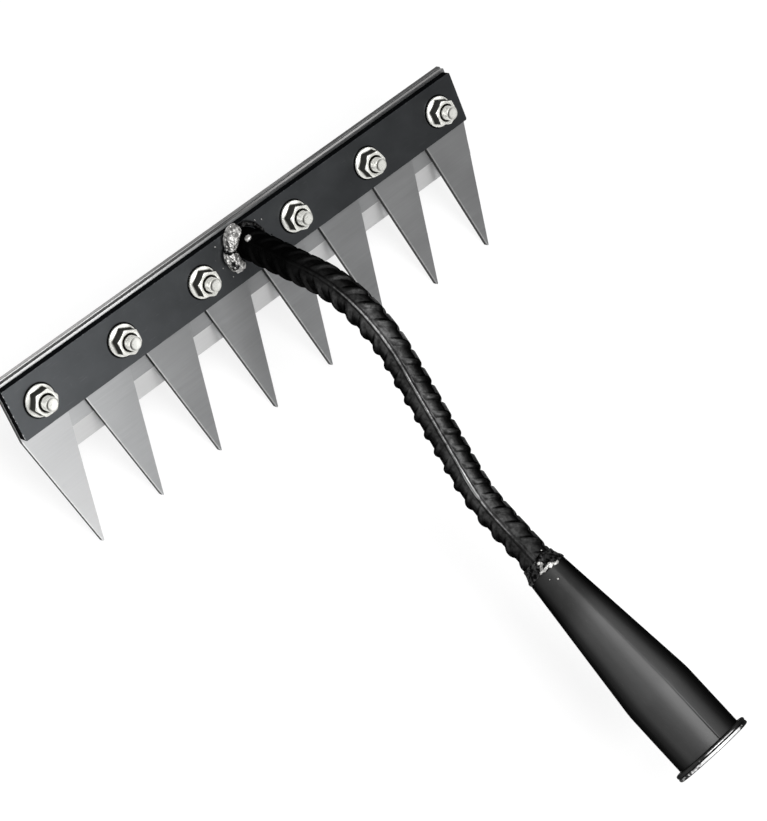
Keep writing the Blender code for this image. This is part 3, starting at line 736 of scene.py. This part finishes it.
def weldMetal(look):
    # Lumpy weld: bare silver where the mark says so, black paint elsewhere, painted shade in
    # the creases and low lumps, and painted highlight on the lumps' tops
    material, shader, place = newMaterial("weld_metal", {**blackPaint,
                                                         "Specular Tint": grey(0.5)})
    crease = readMark(place, "crease")
    lumps = noise(place, 520.0, 4.0)
    fine = noise(place, 1700.0, 3.0)
    bare = ease(readMark(place, "bare") + 0.9 * (lumps - 0.5), 0.40, 0.62)
    # Painted shade in the creases, with darker patches; the silver lightens on the lumps' tops
    # as painted highlight
    darkening = greater(crease, ease(noise(place, 300.0, 4.0), 0.57, 0.68) * 0.6)
    silver = tint(darkening * 0.95, tint(lumps, *look["silver"]), grey(look["darkening"], 0.03))
    # Painted shade in the paint's creases and low lumps, so their tops stand out as painted
    # highlight
    hollowShade = greater(crease, ease(lumps, 0.62, 0.44))
    feed(shader, colour=tint(bare, tones(hollowShade, look["paint"]), silver),
         roughness=look["roughness"] + 0.16 * fine + 0.10 * darkening,
         normal=bump(lumps + 0.5 * fine, 0.00024, 0.8))
    return material


weldFinish = weldMetal(weldLook)


def droplet(centre, normal, radius):
    # A bead of spatter: a flattened ball sunk a quarter into the face that carries it
    rows, columns = 7, 12
    polar = np.linspace(0.0, pi, rows)[:, None]
    angle = np.linspace(0.0, tau, columns, endpoint=False)[None, :]
    normal = np.asarray(normal, float) / np.linalg.norm(normal)
    side = np.cross(normal, (1.0, 0.1, 0.2))
    side /= np.linalg.norm(side)
    across = np.cross(normal, side)
    ball = (0.7 * np.cos(polar + 0 * angle)[..., None] * normal
            + (np.sin(polar) * np.cos(angle))[..., None] * side
            + (np.sin(polar) * np.sin(angle))[..., None] * across)
    return np.asarray(centre) + radius * (ball + 0.35 * normal), gridFaces(rows, columns)


def roundNeck(angle, radius, up):
    # A point at an angle and distance from the leaning neck's axis, at a height off the bar
    leave = radians(course["leaveAngle"])
    return fromHead(radius * np.sin(angle),
                    course["start"] + up / tan(leave) - radius * np.cos(angle) / sin(leave), up)


def neckWeld(name, node, spec, bareness):
    # A bead in the corner of bar and neck. Round the neck its lobes swell as the root of
    # 1 minus the square of the place in the lobe; across, its section is a quarter of a
    # rounded bulge from the toe on the bar to the neck's side, with lumps pushed outwards.
    share = np.linspace(0.0, 1.0, weldSpots["columns"])[:, None]
    across = np.linspace(0.0, 1.0, weldSpots["rows"])[None, :]
    degrees = spec["ends"][0] + (spec["ends"][1] - spec["ends"][0]) * share
    angle = np.radians(degrees)
    reaches, heights = [], []
    for middle, half, reach, height in spec["lobes"]:
        swell = 0.25 + 0.75 * np.clip(1 - ((degrees - middle) / half) ** 2, 0, 1) ** 0.5
        reaches.append(swell * reach)
        heights.append(swell * height)
    lumps = lumpy((7 * angle, 4.5 * across), (17 * angle, 11 * across), spec["seed"])
    ridges = np.abs(np.sin(2.5 * pi * across + 1.1 * np.sin(2.3 * angle)))
    arc = across * pi / 2
    bulge = 1.0 + 0.22 * np.sin(2 * arc)
    edge = np.sin(pi * across) ** 0.5 * (spec["lumps"] * lumps + spec["ridges"] * ridges)
    outward = np.max(reaches, 0) * np.cos(arc) * bulge + edge * np.cos(arc * 0.8)
    rise = np.max(heights, 0) * np.sin(arc) * bulge + edge * np.sin(arc * 0.8 + 0.3)
    # The crease mark is where the material paints shade between the lumps
    crease = np.clip(1.0 - 2.6 * lumps * (0.55 + 0.45 * ridges), 0.0, 1.0) ** 0.7
    # The section closes down the neck's side and along the bar
    outward = np.concatenate([outward, 0 * share, 0.5 * outward[:, :1]], 1)
    rise = np.concatenate([rise, 0 * share, 0 * share], 1)
    crease = np.concatenate([crease, 1 + 0 * share, 1 + 0 * share], 1)
    across = np.broadcast_to(np.concatenate([across, [[1.0, 0.0]]], 1), rise.shape)
    points = roundNeck(angle, weldSpots["inner"] + outward,
                       weldSpots["gap"] + np.maximum(rise, 0.0))
    parts = [(points, gridFaces(*rise.shape))]
    bare, creases = [bareness(degrees, across).ravel()], [crease.ravel()]
    for turn, radius, up, size, value in spec["spatter"]:
        turn = radians(turn)
        facing = fromHead(sin(turn), -cos(turn), 0.0) if up else fromHead(0.0, 0.0, 1.0)
        parts.append(droplet(roundNeck(turn, radius, up),
                             facing - fromHead(0.0, 0.0, 0.0), size))
        count = parts[-1][0].size // 3
        bare.append(np.full(count, value))
        creases.append(np.zeros(count))
    makePiece(name, parts, weldFinish, [node], 60.0,
              {"bare": np.concatenate(bare), "crease": np.concatenate(creases)})


# Where the left run's paint has stayed: places round the neck in degrees, and across the
# bead as shares, each with its width
leftPaint = {"dip": (77, 5), "core": (104, 12), "coreAcross": (0.55, 0.20), "neckSide": 0.78}


def leftBareness(degrees, across):
    # Bare over both lobes, painted in the dip between them, in the second lobe's burnt core
    # and next to the neck
    def off(place, spot):
        return ((place - spot[0]) / spot[1]) ** 2

    dip = np.exp(-off(degrees, leftPaint["dip"]))
    core = np.exp(-off(degrees, leftPaint["core"]) - off(across, leftPaint["coreAcross"]))
    neckSide = np.clip((across - leftPaint["neckSide"]) / (1 - leftPaint["neckSide"]), 0, 1)
    return np.clip(1.15 - 0.9 * dip - 1.3 * core - 0.9 * neckSide, 0, 1)


def painted(degrees, across):
    # Bare nowhere
    return 0.0 * degrees * across


neckWeld("left_weld_run", "neck_weld_left", weldSpots["left"], leftBareness)
neckWeld("right_weld_run", "neck_weld_right", weldSpots["right"], painted)
print("neck welds made")

endWeld = {
    "outer": 0.0114, "lap": 0.0016, "longLap": 0.0019, "longLapTurn": 0.42,
    "length": 0.0078, "lumps": 0.0008, "columns": 170, "rows": 44,
    # Along the bead, which goes from -1 to 1, the lap over the socket ends here
    "lapEdge": -0.4,
    # Two sides that were ground back, in degrees round it, and how far
    "groundSides": (-75.0, 100.0), "ground": 0.0012,
    # Bare streaks: angle and place along, from and to, in degrees and millimetres, and width.
    # The radius turns an angle into millimetres.
    "streaks": ((43.0, -1.2, 25.0, 3.0, 1.10), (25.0, 2.8, 30.0, 4.0, 1.05),
                (38.0, -1.2, 9.0, 0.6, 0.90), (13.0, -0.9, -11.0, -1.9, 1.30)),
    "streakRadius": 11.0,
    # Spatter: angle, place along the axis, distance from it and size
    "spatter": ((20.0, -0.117, 0.0121, 0.00055), (-10.0, -0.1336, 0.0084, 0.00045),
                (36.0, -0.1195, 0.0118, 0.0003)),
}


def taperSlope(spec):
    # How fast the socket's radius falls along its taper
    return (spec["mouth"] - spec["small"]) / (spec["length"] - spec["barrel"])


def socketWeld(spec):
    # A bead that laps over the socket's end and falls to the neck: from the outer radius to
    # the inner one by 1 minus the place along it to the power 1.8, lumpy all over
    angle = np.linspace(-pi, pi, spec["columns"], endpoint=False)[:, None]
    along = np.linspace(-1.0, 1.0, spec["rows"])[None, :]
    upwards, sideways = np.cos(angle), np.sin(angle)
    lapEdge, inner, small = spec["lapEdge"], weldSpots["inner"], socketShape["small"]
    onSocket = np.clip(along / lapEdge, 0.0, 1.0)
    onNeck = np.clip((along - lapEdge) / (1 - lapEdge), 0.0, 1.0)
    lumps = lumpy((5 * upwards, 5 * sideways + 3 * along),
                  (11 * upwards, 11 * sideways + 7 * along), 21)
    # It is lower and shorter where it was ground back
    ground = 0.5 + 0.5 * np.max([np.cos(angle - radians(side))
                                 for side in spec["groundSides"]], 0)
    lapEnd = (spec["lap"] * (0.25 + 1.3 * ripple(6 * upwards, 6 * sideways, 24))
              + spec["longLap"] * np.exp(-(angle / spec["longLapTurn"]) ** 2))
    neckEnd = spec["length"] * (1 - 0.2 * ground) * (
        0.95 + 0.16 * ripple(5 * upwards, 5 * sideways, 23))
    beyond = np.where(along < lapEdge, lapEnd * (along - lapEdge) / (1 + lapEdge),
                      neckEnd * onNeck)
    fall = np.clip(1.0 - onNeck ** 1.8, 0.0, 1.0) ** 0.85
    skin = small + np.clip(-beyond, 0.0, None) * taperSlope(socketShape) - 0.00015
    edge = np.clip((1.0 + along) / 0.35, 0.0, 1.0) ** 0.7
    radius = np.where(along < lapEdge, skin + (spec["outer"] - small) * edge,
                      inner + (spec["outer"] - inner) * fall)
    lumpEdge = edge * np.clip((1.02 - along) / 0.3, 0.0, 1.0) ** 0.6
    radius = (radius + spec["lumps"] * lumps * lumpEdge
              - spec["ground"] * ground * np.sin(pi * onNeck))
    # The crease mark is where the material paints shade between the lumps
    crease = np.clip(1.0 - 2.4 * lumps, 0.0, 1.0) * (1 - 0.5 * onSocket)
    # Under the lap and inside, it closes to the neck
    under = np.concatenate([inner + 0 * angle, inner + 0 * angle], 1)
    radius = np.concatenate([radius, under], 1)
    closed = np.concatenate([beyond, beyond[:, -1:], 0 * angle], 1)
    y = -course["socket"] - weldSpots["gap"] - closed
    points = np.stack([radius * sideways, y, radius * upwards], -1)

    bare = 0.0 * (angle + along)
    for firstTurn, firstPlace, lastTurn, lastPlace, width in spec["streaks"]:
        # A streak fades with the distance from its own line
        first = np.array((radians(firstTurn) * spec["streakRadius"], firstPlace))
        run = np.array((radians(lastTurn) * spec["streakRadius"], lastPlace)) - first
        offTurn = angle * spec["streakRadius"] - first[0]
        offPlace = beyond * 1000 - first[1]
        share = np.clip((offTurn * run[0] + offPlace * run[1]) / (run @ run), 0.0, 1.0)
        distance = np.hypot(offTurn - share * run[0], offPlace - share * run[1])
        bare = np.maximum(bare, np.exp(-(distance / width) ** 2))
    bare = bare * (0.65 + 0.6 * billow(9 * angle, 900 * beyond, 27))
    bare = np.concatenate([bare, 0 * under], 1).ravel()
    crease = np.concatenate([crease, 1 + 0 * under], 1).ravel()
    parts = [(points, gridFaces(*radius.shape, closedRows=True))]
    for turn, place, distance, size in spec["spatter"]:
        facing = np.array((sin(radians(turn)), 0.0, cos(radians(turn))))
        parts.append(droplet(distance * facing + (0.0, place, 0.0), facing, size))
        count = parts[-1][0].size // 3
        bare, crease = np.append(bare, np.ones(count)), np.append(crease, np.zeros(count))
    makePiece("socket_weld_bead", parts, weldFinish, ["socket_weld"], 60.0,
              {"bare": bare, "crease": crease})


socketShape = {
    "length": 0.125, "barrel": 0.0415, "mouth": 0.0194, "small": 0.0112, "wall": 0.0018,
    "soft": 0.0012, "dents": 0.00007, "lip": 0.00025, "lipFade": 0.0003,
    # The columns crowd towards the seam by this power
    "columns": 150, "rows": 130, "crowding": 2.2,
    # The seam: a narrow groove, which fades to a share of itself, on a low peak
    "seamTurn": 7.0, "grooveDepth": 0.00026, "grooveWidth": 0.00030, "grooveFade": 0.030,
    "grooveRest": 0.15, "keel": 0.00036, "keelWidth": 0.0032,
}


def makeSocket(spec, material):
    # Outer radius over the distance from the mouth: level along the barrel, then a straight
    # taper, with a soft corner between. Round it, the sheet peaks a hair at its seam, where
    # a narrow dip fades away from the mouth. The wall goes inwards by its thickness.
    along = np.linspace(0.0, spec["length"], spec["rows"])[:, None]
    even = np.linspace(-1.0, 1.0, spec["columns"], endpoint=False)[None, :]
    fromSeam = pi * np.sign(even) * np.abs(even) ** spec["crowding"]
    angle = radians(spec["seamTurn"]) + fromSeam
    beyond = spec["soft"] * np.logaddexp(0.0, (along - spec["barrel"]) / spec["soft"])
    plain = spec["mouth"] - taperSlope(spec) * beyond
    across = np.abs(fromSeam) * plain
    dents = spec["dents"] * (ripple(along * 60, 2 * np.sin(angle), 31) - 0.5)
    fade = spec["grooveRest"] + (1 - spec["grooveRest"]) * np.exp(-along / spec["grooveFade"])
    seam = np.exp(-(across / spec["grooveWidth"]) ** 2) * fade
    keel = spec["keel"] * np.exp(-across / spec["keelWidth"])
    lip = spec["lip"] * (np.exp(-along / spec["lipFade"])
                         + np.exp(-(spec["length"] - along) / spec["lipFade"]))
    outer = plain + dents - spec["grooveDepth"] * seam + keel - lip
    inner = plain - spec["wall"] + lip + 0 * angle
    radius = np.concatenate([outer, inner[::-1]])
    y = np.concatenate([-along, -along[::-1]]) + 0 * angle
    points = np.stack([radius * np.sin(angle), y, radius * np.cos(angle)], -1)
    makePiece("rolled_socket", [(points, gridFaces(*radius.shape, closedRows=True))], material,
              ["handle_socket"], 50.0,
              {"seam": np.concatenate([seam, 0 * seam])})


socketLook = {"paint": (0.046, 0.078), "scratch": 0.14, "darkening": 0.006,
              "darkeningAlong": (-0.086, -0.108), "seam": 0.004, "roughness": 0.36}


def socketPaint(look):
    # Satin paint over rolled sheet: soft streaks along the sheet, faint orange peel, hair
    # scratches, darker next to the weld, a dark seam, and painted shade on the rims
    material, shader, place = newMaterial("satin_socket_paint", blackPaint)
    streaks = noise(place, (260.0, 14.0, 260.0), 3.0)
    cloud = noise(place, 45.0, 4.0)
    peel = noise(place, 1100.0, 3.0)
    hair = ease(noise(place, (1700.0, 60.0, 1700.0), 2.0), 0.68, 0.76)
    seam = readMark(place, "seam")
    darkening = ease(split(place)[1], *look["darkeningAlong"]) * (0.20 + 0.60 * cloud)
    paint = tones(0.5 * streaks + 0.5 * cloud, look["paint"])
    paint = tint(hair * 0.25, paint, grey(look["scratch"]))
    paint = tint(darkening, paint, grey(look["darkening"]))
    # The seam's dark joint and the painted rim shade both take the seam's grey
    paint = tint(greater(seam * 0.85, paintedRimShade(place, 0.62)), paint, grey(look["seam"]))
    feed(shader, colour=paint,
         roughness=look["roughness"] + 0.08 * cloud + 0.05 * streaks,
         normal=bump(peel + 0.8 * streaks, 0.00003, 0.5))
    return material


makeSocket(socketShape, socketPaint(socketLook))
socketWeld(endWeld)

ringShape = {
    "inner": 0.0197, "outer": 0.02275, "width": 0.0042, "columns": 160, "rows": 33,
    "fall": 0.0013, "groove": 0.0005, "uneven": 0.00006,
    # Where paint is worn off, which is also where the hoop's painted highlight lies, front
    # ridge
    # first: amounts at degrees round the hoop, then the band's middle and half width across it,
    # which goes from -1 to 1, and its strength
    "worn": ((((-38.0, 0.0), (-6.0, 1.0), (42.0, 1.0), (54.0, 0.55), (72.0, 0.5),
               (80.0, 0.36), (112.0, 0.36)), 0.50, 0.34, 1.3),
             (((-22.0, 0.0), (-12.0, 0.75), (34.0, 0.75), (56.0, 0.0)), -0.33, 0.11, 1.2)),
}


def makeRing(spec, material):
    # A hoop with two ridges: each falls by 1 minus the root of 1 minus its place squared,
    # deeper on the outer side than in the groove between them
    place = np.linspace(-1.0, 1.0, spec["rows"])
    ridge = np.abs(place) * 2 - 1
    depth = np.where(np.abs(place) > 0.5, spec["fall"], spec["groove"])
    radius = spec["outer"] - depth * (1 - np.sqrt(np.clip(1 - ridge ** 2, 0, 1)))
    y = -spec["width"] * (1 - place) / 2
    # Two more columns are the inside's rims
    radius = np.concatenate([radius, [spec["inner"], spec["inner"]]])
    y = np.concatenate([y, [0.0, -spec["width"]]])
    across = np.concatenate([place, [1.0, -1.0]])[None, :]
    outside = np.concatenate([np.ones(spec["rows"]), [0.0, 0.0]])[None, :]
    angle = np.linspace(0.0, tau, spec["columns"], endpoint=False)[:, None]
    uneven = spec["uneven"] * (ripple(5 * np.cos(angle), 5 * np.sin(angle), 41) - 0.5)
    radius = radius[None, :] + uneven
    points = np.stack([radius * np.sin(angle), y[None, :] + 0 * angle,
                       radius * np.cos(angle)], -1)
    turned = np.degrees((angle + pi) % tau - pi)
    worn = 0.0 * (turned + across)
    for stops, middle, half, strength in spec["worn"]:
        band = np.clip(strength - np.abs((across - middle) / half) ** 4, 0, 1)
        worn = np.maximum(worn, between(turned, stops) * band)
    makePiece("mouth_hoop", [(points, gridFaces(*points.shape[:2], closedRows=True))], material,
              ["mouth_ring"], 50.0, {"worn": worn * outside})


ringLook = {"paint": (0.020, 0.060), "bare": (0.80, 0.95), "roughness": 0.42}


def ringPaint(look):
    # Paint worn through to bright metal on the hoop's upper ridges, where its highlight is
    # painted, speckled at their ends
    material, shader, place = newMaterial("hoop_paint_and_highlight", {"Specular Tint": grey(0.3)})
    cloud = noise(place, 260.0, 4.0)
    speckle = 1.3 * (noise(place, 480.0, 3.0) - 0.5)
    # Painted highlight: bright bands where the worn mark lies
    worn = ease(readMark(place, "worn") + speckle, 0.32, 0.66)
    feed(shader, colour=tint(worn, tones(cloud, look["paint"]), tones(cloud, look["bare"])),
         metallic=1 - 0.55 * worn,
         roughness=look["roughness"] + 0.10 * cloud - 0.10 * worn,
         normal=bump(noise(place, 900.0, 4.0) - 0.5 * worn, 0.00004, 0.5))
    return material


makeRing(ringShape, ringPaint(ringLook))
print("socket, its weld and hoop made")


stageLook = {"floorGap": 0.0004, "floorSize": 24.0, "floorColour": 0.22,
             "floorRoughness": 0.9, "glow": 0.80, "worldStrength": 0.18}


def makeFloor(look):
    # Pale floor: white to the camera and in reflections, yet it keeps the object's shadow
    bpy.ops.mesh.primitive_plane_add(size=look["floorSize"])
    floor = bpy.context.object
    floor.name = "pale_floor"
    floor.location.z = cadBounds[0][2] - look["floorGap"]
    material = bpy.data.materials.new("pale_floor")
    material.use_nodes = True
    tree = material.node_tree
    shader = tree.nodes["Principled BSDF"]
    shader.inputs["Base Color"].default_value = grey(look["floorColour"])
    shader.inputs["Roughness"].default_value = look["floorRoughness"]
    shader.inputs["Specular IOR Level"].default_value = 0.0
    outputs = Wire(tree).node("ShaderNodeLightPath").socket.node.outputs
    camera, glossy, through = [Wire(tree, outputs[ray]) for ray in (
        "Is Camera Ray", "Is Glossy Ray", "Is Transmission Ray")]
    seen = greater(greater(camera, glossy), through)
    glow = tree.nodes.new("ShaderNodeEmission")
    tree.links.new((seen * look["glow"]).socket, glow.inputs["Strength"])
    both = tree.nodes.new("ShaderNodeAddShader")
    tree.links.new(shader.outputs[0], both.inputs[0])
    tree.links.new(glow.outputs[0], both.inputs[1])
    tree.links.new(both.outputs[0], tree.nodes["Material Output"].inputs["Surface"])
    floor.data.materials.append(material)


def makeWorld(look):
    world = bpy.data.worlds.new("studio")
    bpy.context.scene.world = world
    world.use_nodes = True
    tree = world.node_tree
    background = tree.nodes["Background"]
    background.inputs["Strength"].default_value = look["worldStrength"]
    background.inputs["Color"].default_value = (1.0, 1.0, 1.0, 1.0)


# Each softbox: where it stands, the point it faces, its size, and its power
softboxes = {
    "overhead": ((0.16, -0.12, 1.25), (0.0, -0.10, 0.0), (0.86, 0.90), 9.8),
    "ridge": ((-0.13, -0.12, 1.24), (0.0, -0.10, 0.0), (0.20, 0.90), 2.6),
    "high_front": ((0.06, 0.92, 0.98), (0.0, -0.20, 0.0), (0.62, 0.52), 8.7),
    "low_front": ((0.10, 0.52, 0.34), (0.10, -0.34, -0.02), (0.62, 0.34), 0.64),
    "left_fill": ((0.88, -0.25, 0.82), (0.0, -0.05, 0.0), (0.62, 0.60), 2.4),
    "left_low": ((1.15, -0.25, 0.33), (0.0, -0.05, 0.0), (0.60, 0.60), 1.2),
    "right_fill": ((-0.86, -0.20, 0.74), (0.0, -0.05, 0.0), (0.56, 0.60), 1.9),
}


def makeLights():
    for name, (stand, target, size, power) in softboxes.items():
        lamp = bpy.data.lights.new(name, "AREA")
        lamp.shape = "RECTANGLE"
        lamp.size, lamp.size_y = size
        lamp.energy = power
        holder = bpy.data.objects.new(name, lamp)
        bpy.context.scene.collection.objects.link(holder)
        aim = (Vector(stand) - Vector(target)).to_track_quat("Z", "Y")
        holder.matrix_world = Matrix.Translation(stand) @ aim.to_matrix().to_4x4()
        holder.visible_camera = False


cameraFit = {
    "focal": 2442.93, "imageHeight": 821, "sensor": 36.0, "clipStart": 0.02,
    "place": (0.56273962, -0.04971520, 1.12045536),
    "right": (-0.70453934, 0.66977459, 0.23457691),
    "down": (0.55720773, 0.72678932, -0.40161777),
    "forward": (-0.43948137, -0.15224745, -0.88525524),
}


def makeCamera(fit):
    lens = bpy.data.cameras.new("photo_view")
    lens.sensor_fit = "VERTICAL"
    lens.sensor_height = fit["sensor"]
    lens.lens = fit["focal"] * fit["sensor"] / fit["imageHeight"]
    lens.clip_start = fit["clipStart"]
    camera = bpy.data.objects.new("photo_view", lens)
    bpy.context.scene.collection.objects.link(camera)
    rows = [(right, -down, -forward, place) for right, down, forward, place in zip(
        fit["right"], fit["down"], fit["forward"], fit["place"])]
    camera.matrix_world = Matrix((*rows, (0.0, 0.0, 0.0, 1.0)))
    bpy.context.scene.camera = camera


makeFloor(stageLook)
makeWorld(stageLook)
makeLights()
makeCamera(cameraFit)
bpy.context.scene.view_settings.view_transform = "Standard"
print("stage, lights and camera set")
